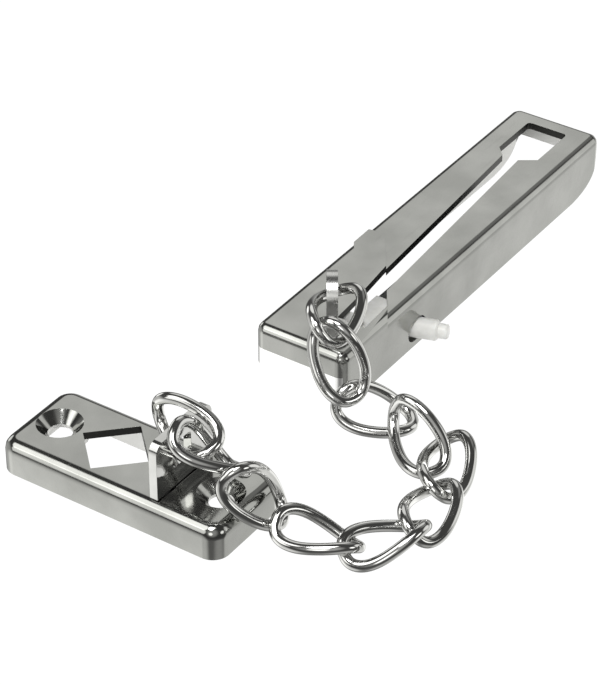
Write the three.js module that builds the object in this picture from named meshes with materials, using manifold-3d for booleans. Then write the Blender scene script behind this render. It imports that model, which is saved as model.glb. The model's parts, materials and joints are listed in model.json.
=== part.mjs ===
// Door chain guard. A long slotted plate goes on the door and a short plate on the door frame, with a
// chain of eleven twisted links between them. The chain's first link hangs in an eye that slides along
// the slot of the long plate, and a sprung catch with a push button holds the eye at the locked end.
//
// Millimetres, +Z away from the door. The origin is the centre of the long plate's footprint, on the
// door's face. +X runs along the long plate, from its locked end to its entry opening.
import * as THREE from "three";
import { mergeVertices } from "three/addons/utils/BufferGeometryUtils.js";
import Module from "manifold-3d";

const wasm = await Module();
wasm.setup();

// Driving dimensions.
const GAP = 0.3; // between pieces that touch
const BELOW = -5; // where cutting tools start, well under every piece
const ABOVE = 40; // where cutting tools end, well over every piece
const MARGIN = 1; // how far a cutting tool starts outside the wall it goes through
const JOIN = 0.1; // how far joined solids run into each other

const DOOR = { length: 113.4, width: 24, height: 13.5, sheet: 1.8, corner: 2.6, fillet: 2.2 };
const FRAME = { length: 57.2, width: 24, height: 7.8, sheet: 1.8, corner: 4, fillet: 2.8 };
const FRAME_AT = { x: -103.5, y: 8.6, heading: -90 };

const LOCKED_END = -DOOR.length / 2;
const WALL_IN = DOOR.width / 2 - DOOR.sheet; // inner face of each side wall
const SHEET_UNDER = DOOR.height - DOOR.sheet; // underside of the top sheet
const SHEET_CUT = SHEET_UNDER - MARGIN; // where tools that cut the top sheet start

const SLOT = { width: 4.3, slope: 3.48, middleY: -1.4, start: LOCKED_END + 6.3, end: 36 };
const ENTRY = { near: 37.5, far: 51.5, halfWidth: 5.35, mouth: 34.8, corner: 1 };
const LOCKED_RELIEF = { length: 8, height: 3.1, sag: 0 };
const ENTRY_RELIEF = { length: 12.7, height: 7, sag: 0.8 };
const RAMP = { rise: 1, length: 7.2, atX: -21.4, angle: 33.7, farX: -11.2 };
const WINDOW = { near: LOCKED_END + 12, right: -9.4 };
const BUTTON_HOLE = { x: -26.9, z: 4.2, length: 7.2, height: 5.6 };

const STRIP = { near: LOCKED_END + 4, far: 35.5, right: -9.7, left: 4.3, thick: 1.5 };
const STRIP_FLANGE = { near: -10, far: 33, thick: 1.3, height: 5 };
const STRIP_SCREWS = { radius: 2.25, at: [LOCKED_END + 8, -7, 30] };

const CATCH = { near: LOCKED_END + 12.6, headFar: LOCKED_END + 30, right: -9.8, left: -1, low: 2.1, high: 9 };
const TOOTH = { near: LOCKED_END + 13.6, length: 4.9, width: 3.9, high: 11.3 };
const PIVOT = { x: -17.2, y: -7.7, radius: 1.2, headRadius: 1.6, bossRadius: 2.2, top: 10.3 };
const BUTTON = { x: -26.2, z: 4.2, radius: 2.45, in: 3.5, out: 4.6, skew: 18 };
const BUTTON_TIP = { radius: 1.75, out: 7, chamfer: 0.35 };
const SPRING = { x: -36.5, z: 5.4, radius: 1.9, wire: 0.3, turns: 6 };

const EYE = { x: -50.3, heading: 34.1, thick: 2.5, halfWidth: 5.2, top: 29.4, holeZ: 24.2, holeRadius: 3 };
const SHANK = { radius: 1.75, collarRadius: 4.3, collarHigh: 15, rivetRadius: 2.7, rivetHigh: 1 };
const FOOT = { length: 7.8, width: 7.2, corner: 1, low: 9.4, high: 11.3 };

const LINK = { halfLength: 8.9, halfWidth: 5, wire: 1.35, twist: -72, squareness: 0.8 };

const LUG = { x: 11.2, y: -0.3, thick: 2, width: 19.4, top: 21.8, corner: 2.5 };
const LUG_HOLE = { y: -1.2, z: 15.8, width: 6.4, height: 6, corner: 1 };
const TENON = { width: 4, spacing: 12, low: 5 };
const SCREW_HOLES = { setback: 7.5, rim: 5.2, radius: 2.75, depth: 2.4 };
const SKIRT = { radius: 6.4, low: FRAME.height - 3.2 };
const DIAMOND = { x: -6.1, half: 8.8 };

// How the chain lies: each link's centre, and its roll, pitch and heading in degrees.
const CHAIN = [
  { at: [-56.1, -9.1, 24.5], roll: -15, pitch: 2, heading: -164 },
  { at: [-62.9, -14.5, 17.7], roll: 40, pitch: 58, heading: -107 },
  { at: [-59.0, -21.6, 5.1], roll: 34, pitch: 22, heading: -49 },
  { at: [-63.3, -34.6, 6.1], roll: 45, pitch: 24, heading: -118 },
  { at: [-66.5, -44.3, 4.9], roll: -4, pitch: 6, heading: -157 },
  { at: [-80.5, -48.9, 4.2], roll: -6, pitch: 1, heading: -167 },
  { at: [-93.7, -46.4, 4.1], roll: 4, pitch: 11, heading: 141 },
  { at: [-100.9, -34.7, 5.0], roll: 2, pitch: -15, heading: 116 },
  { at: [-103.6, -21.3, 11.0], roll: -60, pitch: -48, heading: 145 },
  { at: [-104.6, -10.4, 18.1], roll: 4, pitch: -39, heading: 127 },
  { at: [-102.6, -2.9, 19.6], roll: 123, pitch: -1, heading: 75 },
];

// Colours and finishes.
const CHROME = { color: 0xc9cbc8, roughness: 0.12, metalness: 1 };
const ZINC = { color: 0x9fa3a6, roughness: 0.5, metalness: 1 };
const SPRING_STEEL = { color: 0x8c8f92, roughness: 0.35, metalness: 1 };
const WHITE_PLASTIC = { color: 0xe6e6e1, roughness: 0.45, metalness: 0 };

const radians = THREE.MathUtils.degToRad;

// Solids.

function solid(geometry) {
  const bare = geometry.clone();
  bare.deleteAttribute("normal");
  bare.deleteAttribute("uv");
  const merged = mergeVertices(bare, 1e-4);
  return new wasm.Manifold(
    new wasm.Mesh({
      numProp: 3,
      vertProperties: new Float32Array(merged.attributes.position.array),
      triVerts: new Uint32Array(merged.index.array),
    }),
  );
}

function geometryOf(manifold) {
  const mesh = manifold.getMesh();
  const geometry = new THREE.BufferGeometry();
  geometry.setAttribute("position", new THREE.BufferAttribute(mesh.vertProperties, 3));
  geometry.setIndex(new THREE.BufferAttribute(mesh.triVerts, 1));
  const faceted = geometry.toNonIndexed();
  faceted.computeVertexNormals();
  return faceted;
}

const union = (first, ...others) => others.reduce((sum, other) => sum.add(other), first);
const cut = (body, ...tools) => tools.reduce((rest, tool) => rest.subtract(tool), body);

// A flat outline pulled up from one height to another.
function prism(shape, low, high, curveSegments = 8) {
  const geometry = new THREE.ExtrudeGeometry(shape, {
    depth: high - low,
    bevelEnabled: false,
    curveSegments,
  });
  return solid(geometry.translate(0, 0, low));
}

function box(x0, x1, y0, y1, z0, z1) {
  const geometry = new THREE.BoxGeometry(x1 - x0, y1 - y0, z1 - z0);
  return solid(geometry.translate((x0 + x1) / 2, (y0 + y1) / 2, (z0 + z1) / 2));
}

function disc(x, y, radius, low, high, sides = 24) {
  const geometry = new THREE.CylinderGeometry(radius, radius, high - low, sides);
  return solid(geometry.rotateX(Math.PI / 2).translate(x, y, (low + high) / 2));
}

// A rectangle with rounded corners, centred on a point.
function roundedRectangle(width, height, corner, x = 0, y = 0) {
  const right = x + width / 2;
  const left = x - width / 2;
  const top = y + height / 2;
  const bottom = y - height / 2;
  const shape = new THREE.Shape();
  shape.absarc(right - corner, bottom + corner, corner, -Math.PI / 2, 0);
  shape.absarc(right - corner, top - corner, corner, 0, Math.PI / 2);
  shape.absarc(left + corner, top - corner, corner, Math.PI / 2, Math.PI);
  shape.absarc(left + corner, bottom + corner, corner, Math.PI, Math.PI * 1.5);
  return shape;
}

function polygon(points) {
  return new THREE.Shape(points.map(([x, y]) => new THREE.Vector2(x, y)));
}

// The outside of a pressed plate: rounded in plan, with a fillet round its top edge.
function pressedBlock({ length, width, corner, fillet }, height) {
  const geometry = new THREE.ExtrudeGeometry(roundedRectangle(length, width, corner), {
    depth: height - fillet,
    bevelThickness: fillet,
    bevelSize: fillet,
    bevelOffset: -fillet,
    bevelSegments: 4,
    curveSegments: 6,
  });
  const reach = length;
  return cut(solid(geometry), box(-reach, reach, -reach, reach, BELOW, 0));
}

// The hollow under a pressed plate, up to a given height.
function pressedHollow({ length, width, corner, sheet }, top) {
  const inside = roundedRectangle(length - 2 * sheet, width - 2 * sheet, corner - sheet);
  return prism(inside, BELOW, top, 6);
}

// The door plate.

const slotY = (x) => SLOT.middleY + Math.tan(radians(SLOT.slope)) * x;

// Where the diagonal edge of the ramp crosses a given y.
const rampEdgeX = (y) => RAMP.atX + y / Math.tan(radians(RAMP.angle));

// A region in plan, cut off above by the slope that climbs toward the diagonal edge. The region ends
// square across the plate where the diagonal edge comes near the far side wall.
function underRamp(top) {
  const wedge = polygon([
    [-RAMP.length, BELOW],
    [0, BELOW],
    [0, top + RAMP.rise],
    [-RAMP.length, top],
  ]);
  const reach = DOOR.width * 3;
  const geometry = new THREE.ExtrudeGeometry(wedge, { depth: reach, bevelEnabled: false });
  geometry.translate(0, 0, -reach / 2);
  geometry.rotateX(Math.PI / 2);
  geometry.rotateZ(radians(RAMP.angle - 90));
  const wholeLength = solid(geometry.translate(RAMP.atX, 0, 0));
  return wholeLength.intersect(box(-reach, RAMP.farX, -reach, reach, BELOW, ABOVE));
}

function slotCutter() {
  const half = SLOT.width / 2;
  const shape = new THREE.Shape();
  shape.absarc(SLOT.start, 0, half, Math.PI / 2, Math.PI * 1.5);
  shape.lineTo(SLOT.end, -half);
  shape.lineTo(SLOT.end, half);
  const geometry = new THREE.ExtrudeGeometry(shape, {
    depth: ABOVE - BELOW,
    bevelEnabled: false,
    curveSegments: 8,
  });
  geometry.rotateZ(radians(SLOT.slope));
  return solid(geometry.translate(0, SLOT.middleY, SHEET_CUT));
}

// The opening that takes the eye's foot. Its near side narrows to the slot like a funnel.
function entryCutter() {
  const { near, far, halfWidth, mouth, corner } = ENTRY;
  const half = SLOT.width / 2;
  const middle = slotY(mouth);
  const shape = new THREE.Shape();
  shape.moveTo(mouth, middle - half);
  shape.lineTo(near, -halfWidth);
  shape.absarc(far - corner, corner - halfWidth, corner, -Math.PI / 2, 0);
  shape.absarc(far - corner, halfWidth - corner, corner, 0, Math.PI / 2);
  shape.lineTo(near, halfWidth);
  shape.lineTo(mouth, middle + half);
  return prism(shape, SHEET_CUT, ABOVE);
}

// The window beside the slot that shows the catch. The diagonal edge bounds its far side.
function windowCutter() {
  const slotSide = slotY(WINDOW.near);
  const outline = polygon([
    [WINDOW.near, WINDOW.right],
    [rampEdgeX(WINDOW.right), WINDOW.right],
    [rampEdgeX(slotSide), slotSide],
    [WINDOW.near, slotSide],
  ]);
  return prism(outline, SHEET_CUT, ABOVE);
}

function buttonHoleCutter() {
  const shape = roundedRectangle(BUTTON_HOLE.length, BUTTON_HOLE.height, BUTTON_HOLE.height / 2 - 0.1);
  const geometry = new THREE.ExtrudeGeometry(shape, {
    depth: DOOR.width / 2,
    bevelEnabled: false,
    curveSegments: 6,
  });
  geometry.rotateX(Math.PI / 2);
  return solid(geometry.translate(BUTTON_HOLE.x, -WALL_IN + MARGIN, BUTTON_HOLE.z));
}

// At each end the walls' lower edge sweeps up, so that the end wall stands clear of the door.
function endRelief({ length, height, sag }) {
  const shape = new THREE.Shape();
  shape.moveTo(-MARGIN, BELOW);
  shape.lineTo(length, BELOW);
  shape.lineTo(length, 0);
  shape.quadraticCurveTo(DOOR.sheet, sag, DOOR.sheet, height);
  shape.lineTo(-MARGIN, height);
  const geometry = new THREE.ExtrudeGeometry(shape, {
    depth: DOOR.width + 2 * MARGIN,
    bevelEnabled: false,
    curveSegments: 8,
  });
  return geometry.rotateX(Math.PI / 2).translate(LOCKED_END, DOOR.width / 2 + MARGIN, 0);
}

function doorPlate() {
  const raised = pressedBlock(DOOR, DOOR.height + RAMP.rise).intersect(underRamp(DOOR.height));
  const raisedHollow = pressedHollow(DOOR, ABOVE).intersect(underRamp(SHEET_UNDER));
  return cut(
    union(pressedBlock(DOOR, DOOR.height), raised),
    pressedHollow(DOOR, SHEET_UNDER),
    raisedHollow,
    slotCutter(),
    entryCutter(),
    windowCutter(),
    buttonHoleCutter(),
    solid(endRelief(LOCKED_RELIEF)),
    solid(endRelief(ENTRY_RELIEF).rotateZ(Math.PI)),
  );
}

// The strip that is screwed to the door under the slot. Its flange holds the door plate's side wall.
function fixingStrip() {
  const plate = box(STRIP.near, STRIP.far, STRIP.right, STRIP.left, 0, STRIP.thick);
  const flangeOut = -WALL_IN + GAP;
  const flange = box(
    STRIP_FLANGE.near,
    STRIP_FLANGE.far,
    flangeOut,
    flangeOut + STRIP_FLANGE.thick,
    0,
    STRIP_FLANGE.height,
  );
  const holes = STRIP_SCREWS.at.map((x) => disc(x, slotY(x), STRIP_SCREWS.radius, BELOW, ABOVE));
  return cut(union(plate, flange), ...holes);
}

// The catch: one plastic lever with a tooth in the slot, a bore for its pivot, and the push button.

function catchLever() {
  const { low, high, right, left, near, headFar } = CATCH;
  const head = box(near, headFar, right, left, low, high);
  const arm = box(near, PIVOT.x, right, PIVOT.y + PIVOT.bossRadius, low, high);
  const boss = disc(PIVOT.x, PIVOT.y, PIVOT.bossRadius, low, high);
  const tooth = box(TOOTH.near, TOOTH.near + TOOTH.length, left - TOOTH.width, left, low, TOOTH.high);
  const bore = disc(PIVOT.x, PIVOT.y, PIVOT.radius + GAP / 2, BELOW, ABOVE);
  return cut(union(head, arm, boss, tooth, button()), bore);
}

function button() {
  const { chamfer } = BUTTON_TIP;
  const profile = [
    [0, -BUTTON.in],
    [BUTTON.radius, -BUTTON.in],
    [BUTTON.radius, BUTTON.out - chamfer],
    [BUTTON.radius - chamfer, BUTTON.out],
    [BUTTON_TIP.radius, BUTTON.out],
    [BUTTON_TIP.radius, BUTTON_TIP.out - chamfer],
    [BUTTON_TIP.radius - chamfer, BUTTON_TIP.out],
    [0, BUTTON_TIP.out],
  ].map(([radius, along]) => new THREE.Vector2(radius, along));
  const geometry = new THREE.LatheGeometry(profile, 20);
  geometry.rotateX(Math.PI).rotateZ(radians(BUTTON.skew));
  return solid(geometry.translate(BUTTON.x, -DOOR.width / 2, BUTTON.z));
}

function catchPivot() {
  const headLow = CATCH.high + GAP;
  const shaft = disc(PIVOT.x, PIVOT.y, PIVOT.radius, STRIP.thick + GAP, headLow + JOIN);
  return union(shaft, disc(PIVOT.x, PIVOT.y, PIVOT.headRadius, headLow, PIVOT.top));
}

class Helix extends THREE.Curve {
  constructor(radius, length, turns) {
    super();
    Object.assign(this, { radius, length, turns });
  }

  getPoint(t, target = new THREE.Vector3()) {
    const angle = t * this.turns * Math.PI * 2;
    return target.set(this.radius * Math.cos(angle), t * this.length, this.radius * Math.sin(angle));
  }
}

// The spring between the catch and the far side wall.
function catchSpring() {
  const from = CATCH.left + GAP + SPRING.wire;
  const to = WALL_IN - GAP - SPRING.wire;
  const section = new THREE.Shape().absarc(0, 0, SPRING.wire, 0, Math.PI * 2);
  const geometry = new THREE.ExtrudeGeometry(section, {
    extrudePath: new Helix(SPRING.radius, to - from, SPRING.turns),
    steps: SPRING.turns * 12,
    curveSegments: 3,
  });
  return solid(geometry.translate(SPRING.x, from, SPRING.z));
}

// The sliding eye: a foot that runs under the sheet, and an upright eye whose shank turns in it.

function slidingFoot() {
  const shape = roundedRectangle(FOOT.length, FOOT.width, FOOT.corner);
  const geometry = new THREE.ExtrudeGeometry(shape, {
    depth: FOOT.high - FOOT.low,
    bevelEnabled: false,
    curveSegments: 4,
  });
  geometry.rotateZ(radians(SLOT.slope)).translate(EYE.x, slotY(EYE.x), FOOT.low);
  const bore = disc(EYE.x, slotY(EYE.x), SHANK.radius + GAP / 2, BELOW, ABOVE);
  return cut(solid(geometry), bore);
}

function swivelEye() {
  const collarLow = DOOR.height + GAP;
  const rivetTop = FOOT.low - GAP;
  const shoulder = EYE.top - EYE.halfWidth;
  const outline = new THREE.Shape();
  outline.moveTo(-EYE.halfWidth, collarLow);
  outline.lineTo(EYE.halfWidth, collarLow);
  outline.absarc(0, shoulder, EYE.halfWidth, 0, Math.PI);
  outline.holes.push(new THREE.Path().absarc(0, EYE.holeZ, EYE.holeRadius, 0, Math.PI * 2));
  const geometry = new THREE.ExtrudeGeometry(outline, {
    depth: EYE.thick,
    bevelEnabled: false,
    curveSegments: 12,
  });
  geometry.translate(0, 0, -EYE.thick / 2).rotateX(Math.PI / 2).rotateZ(radians(EYE.heading));
  const y = slotY(EYE.x);
  return union(
    solid(geometry.translate(EYE.x, y, 0)),
    disc(EYE.x, y, SHANK.collarRadius, collarLow, SHANK.collarHigh),
    disc(EYE.x, y, SHANK.radius, rivetTop - JOIN, collarLow + JOIN),
    disc(EYE.x, y, SHANK.rivetRadius, rivetTop - SHANK.rivetHigh, rivetTop),
  );
}

// The chain.

// The centre line of a link: an oval whose plane turns steadily from one end to the other.
class TwistedOval extends THREE.Curve {
  getPoint(t, target = new THREE.Vector3()) {
    const angle = t * Math.PI * 2;
    const soften = (value) => Math.sign(value) * Math.abs(value) ** LINK.squareness;
    const along = soften(Math.cos(angle));
    const across = soften(Math.sin(angle)) * LINK.halfWidth;
    const turn = (radians(LINK.twist) / 2) * along;
    return target.set(LINK.halfLength * along, across * Math.cos(turn), across * Math.sin(turn));
  }
}

function chainLink() {
  return new THREE.TubeGeometry(new TwistedOval(), 32, LINK.wire, 8, true);
}

// The frame plate, in its own frame: centred, +X along it.

function screwHoleCutter(x) {
  const top = FRAME.height;
  const { rim, radius, depth } = SCREW_HOLES;
  const profile = [
    [0, BELOW],
    [radius, BELOW],
    [radius, top - depth],
    [rim, top],
    [rim, ABOVE],
    [0, ABOVE],
  ].map(([r, z]) => new THREE.Vector2(r, z));
  const geometry = new THREE.LatheGeometry(profile, 28).rotateX(Math.PI / 2);
  return solid(geometry.translate(x, 0, 0));
}

function framePlate() {
  const screwX = FRAME.length / 2 - SCREW_HOLES.setback;
  const ends = [-screwX, screwX];
  const skirtTop = FRAME.height - FRAME.sheet + JOIN;
  const skirts = ends.map((x) => disc(x, 0, SKIRT.radius, SKIRT.low, skirtTop, 28));
  const diamond = polygon([
    [DIAMOND.x - DIAMOND.half, 0],
    [DIAMOND.x, -DIAMOND.half],
    [DIAMOND.x + DIAMOND.half, 0],
    [DIAMOND.x, DIAMOND.half],
  ]);
  const shell = cut(pressedBlock(FRAME, FRAME.height), pressedHollow(FRAME, FRAME.height - FRAME.sheet));
  const openings = [prism(diamond, BELOW, ABOVE), ...tenons(GAP, BELOW, ABOVE)];
  return cut(union(shell, ...skirts), ...ends.map(screwHoleCutter), ...openings);
}

// The two tenons that fix the lug in the frame plate, or with a margin the slots that take them.
function tenons(margin, low, high) {
  return [-1, 1].map((side) => {
    const y = LUG.y + (side * TENON.spacing) / 2;
    return box(
      LUG.x - LUG.thick / 2 - margin,
      LUG.x + LUG.thick / 2 + margin,
      y - TENON.width / 2 - margin,
      y + TENON.width / 2 + margin,
      low,
      high,
    );
  });
}

function chainLug() {
  const low = FRAME.height + GAP;
  const half = LUG.width / 2;
  const shape = new THREE.Shape();
  shape.moveTo(LUG.y - half, low);
  shape.lineTo(LUG.y + half, low);
  shape.absarc(LUG.y + half - LUG.corner, LUG.top - LUG.corner, LUG.corner, 0, Math.PI / 2);
  shape.absarc(LUG.y - half + LUG.corner, LUG.top - LUG.corner, LUG.corner, Math.PI / 2, Math.PI);
  const { width, height, corner, y, z } = LUG_HOLE;
  shape.holes.push(roundedRectangle(width, height, corner, y, z));
  const geometry = new THREE.ExtrudeGeometry(shape, {
    depth: LUG.thick,
    bevelEnabled: false,
    curveSegments: 5,
  });
  geometry.translate(0, 0, -LUG.thick / 2).rotateX(Math.PI / 2).rotateZ(Math.PI / 2);
  return union(solid(geometry.translate(LUG.x, 0, 0)), ...tenons(0, TENON.low, low + JOIN));
}

// Assembly.

function piece(name, shape, finish) {
  const geometry = shape.isBufferGeometry ? shape : geometryOf(shape);
  const mesh = new THREE.Mesh(geometry, new THREE.MeshStandardMaterial(finish));
  mesh.name = name;
  return mesh;
}

function doorSide() {
  const group = new THREE.Group();
  group.add(
    piece("door_plate", doorPlate(), CHROME),
    piece("fixing_strip", fixingStrip(), ZINC),
    piece("catch_pivot", catchPivot(), ZINC),
    piece("catch_lever", catchLever(), WHITE_PLASTIC),
    piece("catch_spring", catchSpring(), SPRING_STEEL),
    piece("sliding_foot", slidingFoot(), ZINC),
    piece("swivel_eye", swivelEye(), CHROME),
  );
  return group;
}

function chain() {
  const group = new THREE.Group();
  const geometry = chainLink();
  CHAIN.forEach(({ at, roll, pitch, heading }, index) => {
    const number = String(index + 1).padStart(2, "0");
    const link = piece("chain_link_" + number, geometry, CHROME);
    link.position.set(...at);
    link.rotation.set(radians(roll), radians(pitch), radians(heading), "ZYX");
    group.add(link);
  });
  return group;
}

function frameSide() {
  const group = new THREE.Group();
  group.position.set(FRAME_AT.x, FRAME_AT.y, 0);
  group.rotation.z = radians(FRAME_AT.heading);
  group.add(piece("frame_plate", framePlate(), CHROME), piece("chain_lug", chainLug(), CHROME));
  return group;
}

const guard = new THREE.Group();
guard.add(doorSide(), chain(), frameSide());
export default guard;
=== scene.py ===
"""Looks for the door chain guard: chrome plates, a twisted-link chain and a white push-button catch."""

import json
import math

import bmesh
import bpy
from mathutils import Euler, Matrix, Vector


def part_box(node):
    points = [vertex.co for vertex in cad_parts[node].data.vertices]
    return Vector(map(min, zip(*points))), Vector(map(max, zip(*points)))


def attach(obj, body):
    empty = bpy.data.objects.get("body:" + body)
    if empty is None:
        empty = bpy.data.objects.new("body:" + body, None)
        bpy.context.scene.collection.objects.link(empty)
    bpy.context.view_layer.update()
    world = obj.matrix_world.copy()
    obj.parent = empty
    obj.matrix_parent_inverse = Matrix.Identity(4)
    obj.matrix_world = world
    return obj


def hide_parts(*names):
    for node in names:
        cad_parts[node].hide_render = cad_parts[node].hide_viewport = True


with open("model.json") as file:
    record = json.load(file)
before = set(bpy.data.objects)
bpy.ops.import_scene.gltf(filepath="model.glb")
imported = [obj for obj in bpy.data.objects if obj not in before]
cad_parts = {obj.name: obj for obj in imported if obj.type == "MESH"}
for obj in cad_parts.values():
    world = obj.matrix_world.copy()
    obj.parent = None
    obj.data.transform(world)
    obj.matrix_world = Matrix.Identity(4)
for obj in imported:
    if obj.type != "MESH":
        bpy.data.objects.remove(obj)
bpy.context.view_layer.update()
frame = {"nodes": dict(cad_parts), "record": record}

MM = 0.001
BODY_OF_NODE = {
    node: body for body, nodes in frame["record"]["behaviour"]["bodies"].items() for node in nodes
}

# The chain: each link's centre in millimetres, and its roll, pitch and heading in degrees.
CHAIN = [
    ((-56.1, -9.1, 24.5), (-15, 2, -164)),
    ((-62.9, -14.5, 17.7), (40, 58, -107)),
    ((-59.0, -21.6, 5.1), (34, 22, -49)),
    ((-63.3, -34.6, 6.1), (45, 24, -118)),
    ((-66.5, -44.3, 4.9), (-4, 6, -157)),
    ((-80.5, -48.9, 4.2), (-6, 1, -167)),
    ((-93.7, -46.4, 4.1), (4, 11, 141)),
    ((-100.9, -34.7, 5.0), (2, -15, 116)),
    ((-103.6, -21.3, 11.0), (-60, -48, 145)),
    ((-104.6, -10.4, 18.1), (4, -39, 127)),
    ((-102.6, -2.9, 19.6), (123, -1, 75)),
]
LINK_HALF_LENGTH = 8.9
LINK_HALF_WIDTH = 5.0
LINK_WIRE = 1.28  # the mean radius of the CAD wire, which has eight flat sides
LINK_TWIST = math.radians(-72)
LINK_SQUARENESS = 0.8
LINK_STEPS = 144
WIRE_SIDES = 24
SEAM_AT = 0.26  # where round the link its welded butt joint is, as a share of the way round
SEAM_DEPTH = 0.05  # as a share of the wire's radius
SEAM_HALF_WIDTH = 0.002  # as a share of the way round

# The spring between the catch and the side wall, in millimetres. Its axis runs along Y.
SPRING_AT = (-36.5, 5.4)
SPRING_RADIUS = 1.9
SPRING_WIRE = 0.28
SPRING_TURNS = 6
SPRING_STEPS_PER_TURN = 40
SPRING_CLEAR = 0.3  # between the spring and the catch

# The camera, where the photographer stood.
CAMERA_AT = (-0.4771, -0.2853, 0.3742)
CAMERA_HEADING = (0.8277, 0.5612)
CAMERA_DOWN = math.radians(35.40)
CAMERA_LENS = 171.65
CAMERA_SENSOR = 36

# The room: its own level, the table's glow, and soft boxes as direction, inner and outer radius in
# degrees, and level. The metal doesn't mirror the table, but the boxes below it.
ROOM_LEVEL = 0.08
FLOOR_GLOW = 1.05
BOXES = [
    ((0.675, 0.457, 0.579), 13, 22, 0.95),  # mirrored in the plates' tops
    ((0.675, -0.05, 0.74), 6, 22, 0.25),  # between the top and the fillets
    ((0.67, -0.66, 0.25), 14, 24, 1.1),  # in the fillets along the door plate
    ((0.675, -0.457, -0.579), 26, 40, 0.75),  # in the door plate's side wall
    ((-0.42, 0.47, 0.78), 14, 22, 2.4),  # high in the fillets along the frame plate
    ((-0.79, 0.46, 0.42), 12, 20, 1.6),  # low in the same fillets
    ((-0.675, 0.457, -0.579), 16, 40, 0.75),  # in the end walls
    ((-0.85, -0.35, 0.4), 8, 14, 2.0),  # this one and the next four are streaks in the chain
    ((0.1, -0.95, 0.3), 7, 13, 2.0),
    ((0.3, 0.9, 0.1), 9, 15, 1.5),
    ((-0.2, -0.6, -0.8), 10, 30, 0.35),
    ((-0.15, -0.25, 0.95), 5, 9, 3.0),
    ((0, 0, -1), 25, 80, 0.22),  # the last four fill the sides that the camera doesn't see
    ((-0.7, -0.45, 0.5), 10, 40, 0.45),
    ((-0.3, 0.9, -0.35), 20, 45, 0.6),
    ((0.95, 0.1, -0.3), 15, 40, 0.6),
]

OVERHEAD_FROM = (-0.35, -0.1, 0.9)
OVERHEAD_STRENGTH = 1.6
OVERHEAD_SPREAD = math.radians(25)
FLOOR_REACH = 6.0
FLOOR_DROP = 0.00005

# Zones of the plates' upright faces: the centre and half size of a box, in millimetres. They are the
# punched edges of the sheet, painted near black as shade; the hollow under it, painted pale as light
# inside it; and the foot of the door plate's locked end, painted white as a reflection of the white
# table.
DOOR_CUTS = ((0, 0, 13), (54.5, 10, 1.4))
DOOR_HOLLOW = ((0, 0, 5.8), (55.2, 10.5, 5.85))
DOOR_END = ((-57, 0, 3.4), (1, 13, 4.2))
FRAME_CUTS = ((-103.5, 8.6, 6.9), (10, 26, 1))
FRAME_HOLLOW = ((-103.5, 8.6, 3), (10.4, 27, 2.95))

# How the zones look: their roughness and colour, which are painted shade, painted light and a painted
# reflection.
# Punched edges: near black, painted shade for the dark edges of the openings.
PUNCHED_EDGE_PAINTED_SHADE = (0.4, (0.05, 0.05, 0.048))
# The hollow's inner walls: nearly white, painted light inside the shaded hollow.
PAINTED_LIGHT_IN_HOLLOW = (0.6, (0.9, 0.9, 0.89))
# Foot of the locked end: white, a painted reflection of the white table.
PAINTED_TABLE_REFLECTION = (0.2, (1.0, 1.0, 1.0))
UPRIGHT = 0.35  # the most that an upright face's normal leans up or down

# Dressing the CAD's pieces.
SHARP_ANGLE = math.radians(28)  # edges sharper than this are rounded
FLAT_ANGLE = math.radians(0.6)  # neighbouring faces flatter than this are joined
SAME_PLACE = 2e-6
SMOOTHING_WEIGHT = 100

# Numbers of a mix node's two inputs and its output.
MIX_SOCKETS = {"FLOAT": (2, 3, 0), "RGBA": (6, 7, 2)}


# Materials.


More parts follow.
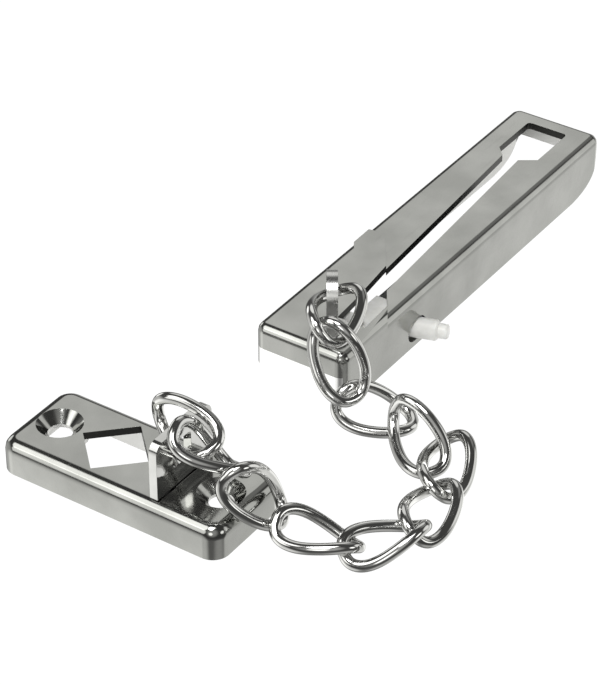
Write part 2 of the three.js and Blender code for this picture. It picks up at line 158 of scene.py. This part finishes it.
class Graph:
    """A material's node tree, with short ways to add and join nodes."""

    def __init__(self, name):
        self.material = bpy.data.materials.new(name)
        self.material.use_nodes = True
        self.tree = self.material.node_tree
        self.shader = self.tree.nodes["Principled BSDF"]
        self.place = self.add("ShaderNodeTexCoord").outputs["Object"]

    def add(self, kind, **settings):
        node = self.tree.nodes.new(kind)
        for key, value in settings.items():
            setattr(node, key, value)
        return node

    def join(self, source, target):
        self.tree.links.new(source, target)

    def noise(self, scale, detail=4.0, stretch=(1, 1, 1)):
        """Noise from 0 to 1, with a scale in features per metre, stretched along the axes."""
        mapping = self.add("ShaderNodeMapping")
        mapping.inputs["Scale"].default_value = stretch
        self.join(self.place, mapping.inputs["Vector"])
        noise = self.add("ShaderNodeTexNoise")
        noise.inputs["Scale"].default_value = scale
        noise.inputs["Detail"].default_value = detail
        self.join(mapping.outputs["Vector"], noise.inputs["Vector"])
        return noise.outputs["Fac"]

    def ramp(self, value, low, high, from_low=0.35, from_high=0.65):
        """value, spread from its middle range to the range low to high."""
        node = self.add("ShaderNodeMapRange")
        node.inputs["From Min"].default_value = from_low
        node.inputs["From Max"].default_value = from_high
        node.inputs["To Min"].default_value = low
        node.inputs["To Max"].default_value = high
        self.join(value, node.inputs["Value"])
        return node.outputs["Result"]

    def combine(self, operation, first, second):
        """Two values added or multiplied."""
        node = self.add("ShaderNodeMath", operation=operation)
        self.join(first, node.inputs[0])
        self.join(second, node.inputs[1])
        return node.outputs[0]

    def mixer(self, data_type, factor):
        """A mix node's two inputs and its output."""
        node = self.add("ShaderNodeMix", data_type=data_type)
        self.join(factor, node.inputs["Factor"])
        first, second, result = MIX_SOCKETS[data_type]
        return node.inputs[first], node.inputs[second], node.outputs[result]

    def colours(self, value, dark, light):
        """A colour between dark and light, as value goes from 0 to 1."""
        first, second, result = self.mixer("RGBA", value)
        first.default_value = (*dark, 1)
        second.default_value = (*light, 1)
        return result

    def masked_value(self, mask, plain, masked):
        """The value plain where mask is 0, and masked where it is 1."""
        first, second, result = self.mixer("FLOAT", mask)
        self.join(plain, first)
        second.default_value = masked
        return result

    def masked_colour(self, mask, plain, masked):
        """The colour plain where mask is 0, and masked where it is 1."""
        first, second, result = self.mixer("RGBA", mask)
        self.join(plain, first)
        second.default_value = (*masked, 1)
        return result

    def split(self, vector):
        """The X, Y and Z of a vector."""
        node = self.add("ShaderNodeSeparateXYZ")
        self.join(vector, node.inputs[0])
        return node.outputs

    def near(self, value, middle, reach):
        """1 where value is within reach of middle, and 0 elsewhere."""
        node = self.add("ShaderNodeMath", operation="COMPARE")
        self.join(value, node.inputs[0])
        node.inputs[1].default_value = middle
        node.inputs[2].default_value = reach
        return node.outputs[0]

    def upright_within(self, centre, half):
        """1 on upright faces inside a box in millimetres, and 0 elsewhere."""
        normal = self.add("ShaderNodeNewGeometry").outputs["Normal"]
        mask = self.near(self.split(normal)["Z"], 0, UPRIGHT)
        for value, middle, reach in zip(self.split(self.place), centre, half):
            mask = self.combine("MULTIPLY", mask, self.near(value, middle * MM, reach * MM))
        return mask

    def bump(self, height, strength, distance):
        node = self.add("ShaderNodeBump")
        node.inputs["Strength"].default_value = strength
        node.inputs["Distance"].default_value = distance
        self.join(height, node.inputs["Height"])
        self.join(node.outputs["Normal"], self.shader.inputs["Normal"])


def chrome(name, dark, light, low, high, waviness, zones=()):
    """Bright plate: polish varies in soft smudges, with hairline scratches and a faint waviness.

    Each zone is a box in which upright faces have a roughness and a colour of their own; the colours
    paint shade, light or a reflection on those faces.
    """
    graph = Graph(name)
    smudges = graph.ramp(graph.noise(110, 5), low, high)
    scratches = graph.ramp(graph.noise(900, 2, (0.06, 1, 1)), 0, 0.07, 0.6, 0.72)
    roughness = graph.combine("ADD", smudges, scratches)
    stain = graph.ramp(graph.noise(70, 6), 0, 1)
    tone = graph.colours(stain, dark, light)
    for box, zone_roughness, zone_tone in zones:
        mask = graph.upright_within(*box)
        roughness = graph.masked_value(mask, roughness, zone_roughness)
        tone = graph.masked_colour(mask, tone, zone_tone)
    graph.join(roughness, graph.shader.inputs["Roughness"])
    graph.join(tone, graph.shader.inputs["Base Color"])
    graph.bump(graph.noise(260, 3), waviness, 0.0004)
    graph.shader.inputs["Metallic"].default_value = 1
    return graph.material


def zinc():
    """Dull zinc plate with a cloudy bloom."""
    graph = Graph("zinc_plate")
    cloud = graph.ramp(graph.noise(180, 6), 0.34, 0.55)
    graph.join(cloud, graph.shader.inputs["Roughness"])
    bloom = graph.ramp(graph.noise(320, 4), 0, 1)
    tone = graph.colours(bloom, (0.36, 0.37, 0.38), (0.55, 0.56, 0.57))
    graph.join(tone, graph.shader.inputs["Base Color"])
    graph.bump(graph.noise(2400, 3), 0.15, 0.0002)
    graph.shader.inputs["Metallic"].default_value = 1
    return graph.material


def spring_wire():
    """Drawn wire with fine die marks."""
    graph = Graph("drawn_spring_wire")
    marks = graph.ramp(graph.noise(2600, 3), 0.22, 0.4)
    graph.join(marks, graph.shader.inputs["Roughness"])
    tone = graph.colours(graph.noise(500, 3), (0.28, 0.28, 0.3), (0.46, 0.47, 0.48))
    graph.join(tone, graph.shader.inputs["Base Color"])
    graph.bump(graph.noise(5200, 2), 0.1, 0.0001)
    graph.shader.inputs["Metallic"].default_value = 1
    return graph.material


def white_plastic():
    """Moulded plastic, a little translucent, with handling marks."""
    graph = Graph("moulded_white_plastic")
    handled = graph.ramp(graph.noise(240, 5), 0.34, 0.52)
    graph.join(handled, graph.shader.inputs["Roughness"])
    grime = graph.ramp(graph.noise(420, 5), 0, 1, 0.3, 0.7)
    tone = graph.colours(grime, (0.7, 0.7, 0.67), (0.82, 0.82, 0.8))
    graph.join(tone, graph.shader.inputs["Base Color"])
    graph.shader.inputs["Subsurface Weight"].default_value = 0.15
    graph.shader.inputs["Subsurface Radius"].default_value = (0.0015, 0.0014, 0.0012)
    graph.bump(graph.noise(1500, 3), 0.12, 0.0002)
    return graph.material


# Pieces.


def add_object(name, mesh, material, node):
    """A piece that stands for a CAD node, moves with its body and takes its material slot."""
    piece = bpy.data.objects.new(name, mesh)
    bpy.context.scene.collection.objects.link(piece)
    mesh.materials.clear()
    mesh.materials.append(material)
    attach(piece, BODY_OF_NODE[node])
    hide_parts(node)
    return piece


def dressed(node, material, edge):
    """A copy of a CAD node with its cut edges rounded a little and its curved faces smooth."""
    shape = bmesh.new()
    shape.from_mesh(frame["nodes"][node].data)
    bmesh.ops.remove_doubles(shape, verts=shape.verts, dist=SAME_PLACE)
    bmesh.ops.dissolve_limit(shape, angle_limit=FLAT_ANGLE, verts=shape.verts, edges=shape.edges)
    mesh = bpy.data.meshes.new(node + "_look")
    shape.to_mesh(mesh)
    shape.free()
    mesh.shade_smooth()
    mesh.set_sharp_from_angle(angle=SHARP_ANGLE)
    piece = add_object(node + "_look", mesh, material, node)
    rounding = piece.modifiers.new("rounding", "BEVEL")
    rounding.width = edge * MM
    rounding.segments = 2
    rounding.limit_method = "ANGLE"
    rounding.angle_limit = SHARP_ANGLE
    rounding.use_clamp_overlap = True
    evening = piece.modifiers.new("evening", "WEIGHTED_NORMAL")
    evening.keep_sharp = False
    evening.weight = SMOOTHING_WEIGHT


def tube_mesh(name, centres, radii, closed):
    """A tube round a list of centres, with a ring of vertices at each one."""
    shape = bmesh.new()
    count = len(centres)
    rings = []
    across = None
    for index, centre in enumerate(centres):
        before = centres[(index - 1) % count] if closed or index else centre
        after = centres[(index + 1) % count] if closed or index + 1 < count else centre
        along = (after - before).normalized()
        if across is None:
            across = along.orthogonal().normalized()
        across = (across - along * across.dot(along)).normalized()
        side = along.cross(across)
        ring = []
        for step in range(WIRE_SIDES):
            angle = math.tau * step / WIRE_SIDES
            offset = across * math.cos(angle) + side * math.sin(angle)
            ring.append(shape.verts.new(centre + offset * radii[index]))
        rings.append(ring)
    for one, other in zip(rings, rings[1:]):
        bridge(shape, one, other, 0)
    if closed:
        bridge(shape, rings[-1], rings[0], nearest_turn(rings[-1], rings[0]))
    else:
        shape.faces.new(list(reversed(rings[0])))
        shape.faces.new(rings[-1])
    mesh = bpy.data.meshes.new(name)
    shape.to_mesh(mesh)
    shape.free()
    mesh.shade_smooth()
    return mesh


def bridge(shape, one, other, turn):
    """Quads between two rings, the second turned by some vertices."""
    sides = len(one)
    for step in range(sides):
        following = (step + 1) % sides
        opposite = other[(step + turn) % sides]
        opposite_following = other[(following + turn) % sides]
        shape.faces.new((one[step], one[following], opposite_following, opposite))


def nearest_turn(one, other):
    """The turn that brings the second ring's vertices nearest to the first's."""
    sides = len(one)
    return min(range(sides), key=lambda turn: (one[0].co - other[turn].co).length)


def soften(value):
    return math.copysign(abs(value) ** LINK_SQUARENESS, value)


def link_point(share):
    """A point on a link's twisted centre line, from 0 to 1 round it."""
    angle = share * math.tau
    along = soften(math.cos(angle))
    across = soften(math.sin(angle)) * LINK_HALF_WIDTH
    turn = LINK_TWIST / 2 * along
    return Vector((LINK_HALF_LENGTH * along, across * math.cos(turn), across * math.sin(turn)))


def link_radius(share):
    """The wire's radius, with the groove of its butt joint."""
    away = (share - SEAM_AT) / SEAM_HALF_WIDTH
    return LINK_WIRE * (1 - SEAM_DEPTH * math.exp(-away * away))


def chain_link(number, at, angles, material):
    roll, pitch, heading = (math.radians(angle) for angle in angles)
    turn = Euler((roll, pitch, heading), "XYZ").to_matrix()
    shares = [step / LINK_STEPS for step in range(LINK_STEPS)]
    centres = [(turn @ link_point(share) + Vector(at)) * MM for share in shares]
    radii = [link_radius(share) * MM for share in shares]
    node = f"chain_link_{number:02d}"
    add_object(node + "_look", tube_mesh(node, centres, radii, True), material, node)


def catch_spring(material):
    low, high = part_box("catch_spring")
    start = low[1] / MM + SPRING_WIRE + SPRING_CLEAR
    end = high[1] / MM - SPRING_WIRE
    steps = SPRING_TURNS * SPRING_STEPS_PER_TURN
    centres = []
    for step in range(steps + 1):
        share = step / steps
        angle = share * SPRING_TURNS * math.tau
        x = SPRING_AT[0] + SPRING_RADIUS * math.cos(angle)
        z = SPRING_AT[1] + SPRING_RADIUS * math.sin(angle)
        centres.append(Vector((x, start + (end - start) * share, z)) * MM)
    radii = [SPRING_WIRE * MM] * len(centres)
    mesh = tube_mesh("catch_spring", centres, radii, False)
    add_object("catch_spring_look", mesh, material, "catch_spring")


# The studio.


def floor():
    mesh = bpy.data.meshes.new("floor")
    signs = [(-1, -1), (1, -1), (1, 1), (-1, 1)]
    corners = [(x * FLOOR_REACH, y * FLOOR_REACH, 0) for x, y in signs]
    mesh.from_pydata(corners, [], [(0, 1, 2, 3)])
    sheet = bpy.data.objects.new("floor", mesh)
    sheet.location.z = -FLOOR_DROP
    bpy.context.scene.collection.objects.link(sheet)
    graph = Graph("white_table")
    tone = graph.colours(graph.noise(3, 2), (0.97, 0.97, 0.97), (1, 1, 1))
    graph.join(tone, graph.shader.inputs["Emission Color"])
    graph.shader.inputs["Emission Strength"].default_value = FLOOR_GLOW
    graph.shader.inputs["Base Color"].default_value = (0.02, 0.02, 0.02, 1)
    graph.shader.inputs["Roughness"].default_value = 0.9
    graph.shader.inputs["Specular IOR Level"].default_value = 0
    mesh.materials.append(graph.material)
    sheet.visible_glossy = False


def surroundings():
    """A dark room with soft boxes at some distance, each a round lobe of light in one direction."""
    world = bpy.data.worlds.new("room")
    bpy.context.scene.world = world
    world.use_nodes = True
    tree = world.node_tree
    direction = tree.nodes.new("ShaderNodeTexCoord").outputs["Generated"]
    room = tree.nodes.new("ShaderNodeValue")
    room.outputs[0].default_value = ROOM_LEVEL
    total = room.outputs[0]
    for towards, inner, outer, level in BOXES:
        facing = tree.nodes.new("ShaderNodeVectorMath")
        facing.operation = "DOT_PRODUCT"
        tree.links.new(direction, facing.inputs[0])
        facing.inputs[1].default_value = Vector(towards).normalized()
        lobe = tree.nodes.new("ShaderNodeMapRange")
        lobe.interpolation_type = "SMOOTHSTEP"
        lobe.inputs["From Min"].default_value = math.cos(math.radians(outer))
        lobe.inputs["From Max"].default_value = math.cos(math.radians(inner))
        lobe.inputs["To Max"].default_value = level
        tree.links.new(facing.outputs["Value"], lobe.inputs["Value"])
        adding = tree.nodes.new("ShaderNodeMath")
        adding.operation = "ADD"
        tree.links.new(lobe.outputs["Result"], adding.inputs[0])
        tree.links.new(total, adding.inputs[1])
        total = adding.outputs[0]
    background = tree.nodes["Background"]
    background.inputs["Color"].default_value = (1, 1, 0.975, 1)
    tree.links.new(total, background.inputs["Strength"])


def overhead_light():
    """A broad lamp overhead, for the pieces that don't mirror the room."""
    data = bpy.data.lights.new("overhead", "SUN")
    data.energy = OVERHEAD_STRENGTH
    data.angle = OVERHEAD_SPREAD
    lamp = bpy.data.objects.new("overhead", data)
    lamp.rotation_euler = Vector(OVERHEAD_FROM).to_track_quat("Z", "Y").to_euler()
    bpy.context.scene.collection.objects.link(lamp)


def camera():
    data = bpy.data.cameras.new("camera")
    data.sensor_width = CAMERA_SENSOR
    data.sensor_fit = "HORIZONTAL"
    data.lens = CAMERA_LENS
    data.clip_start = 0.01
    eye = bpy.data.objects.new("camera", data)
    level = math.cos(CAMERA_DOWN)
    look = Vector((CAMERA_HEADING[0] * level, CAMERA_HEADING[1] * level, -math.sin(CAMERA_DOWN)))
    eye.location = CAMERA_AT
    eye.rotation_euler = look.to_track_quat("-Z", "Y").to_euler()
    bpy.context.scene.collection.objects.link(eye)
    bpy.context.scene.camera = eye


PLATE_TONES = ((0.32, 0.323, 0.31), (0.4, 0.403, 0.388))
# The zones paint shade on the punched edges, light in the hollow and the table's reflection on the
# locked end.
door_zones = [(DOOR_CUTS, *PUNCHED_EDGE_PAINTED_SHADE), (DOOR_HOLLOW, *PAINTED_LIGHT_IN_HOLLOW), (DOOR_END, *PAINTED_TABLE_REFLECTION)]
frame_zones = [(FRAME_CUTS, *PUNCHED_EDGE_PAINTED_SHADE), (FRAME_HOLLOW, *PAINTED_LIGHT_IN_HOLLOW)]
door_chrome = chrome("chrome_door_plate", *PLATE_TONES, 0.1, 0.2, 0.05, door_zones)
frame_chrome = chrome("chrome_frame_plate", *PLATE_TONES, 0.08, 0.16, 0.05, frame_zones)
eye_chrome = chrome("chrome_eye", (0.45, 0.45, 0.44), (0.6, 0.6, 0.59), 0.2, 0.32, 0.08)
wire_chrome = chrome("chrome_wire", (0.5, 0.5, 0.49), (0.68, 0.68, 0.67), 0.05, 0.12, 0.08)
zinc_plate = zinc()
plastic = white_plastic()

dressed("door_plate", door_chrome, 0.25)
dressed("frame_plate", frame_chrome, 0.25)
dressed("chain_lug", wire_chrome, 0.3)
dressed("swivel_eye", eye_chrome, 0.3)
dressed("catch_lever", plastic, 0.2)
dressed("fixing_strip", zinc_plate, 0.15)
dressed("catch_pivot", zinc_plate, 0.1)
dressed("sliding_foot", zinc_plate, 0.15)
for index, (at, angles) in enumerate(CHAIN):
    chain_link(index + 1, at, angles, wire_chrome)
catch_spring(spring_wire())

floor()
surroundings()
overhead_light()
camera()

scene = bpy.context.scene
scene.view_settings.view_transform = "Standard"
scene.view_settings.look = "None"
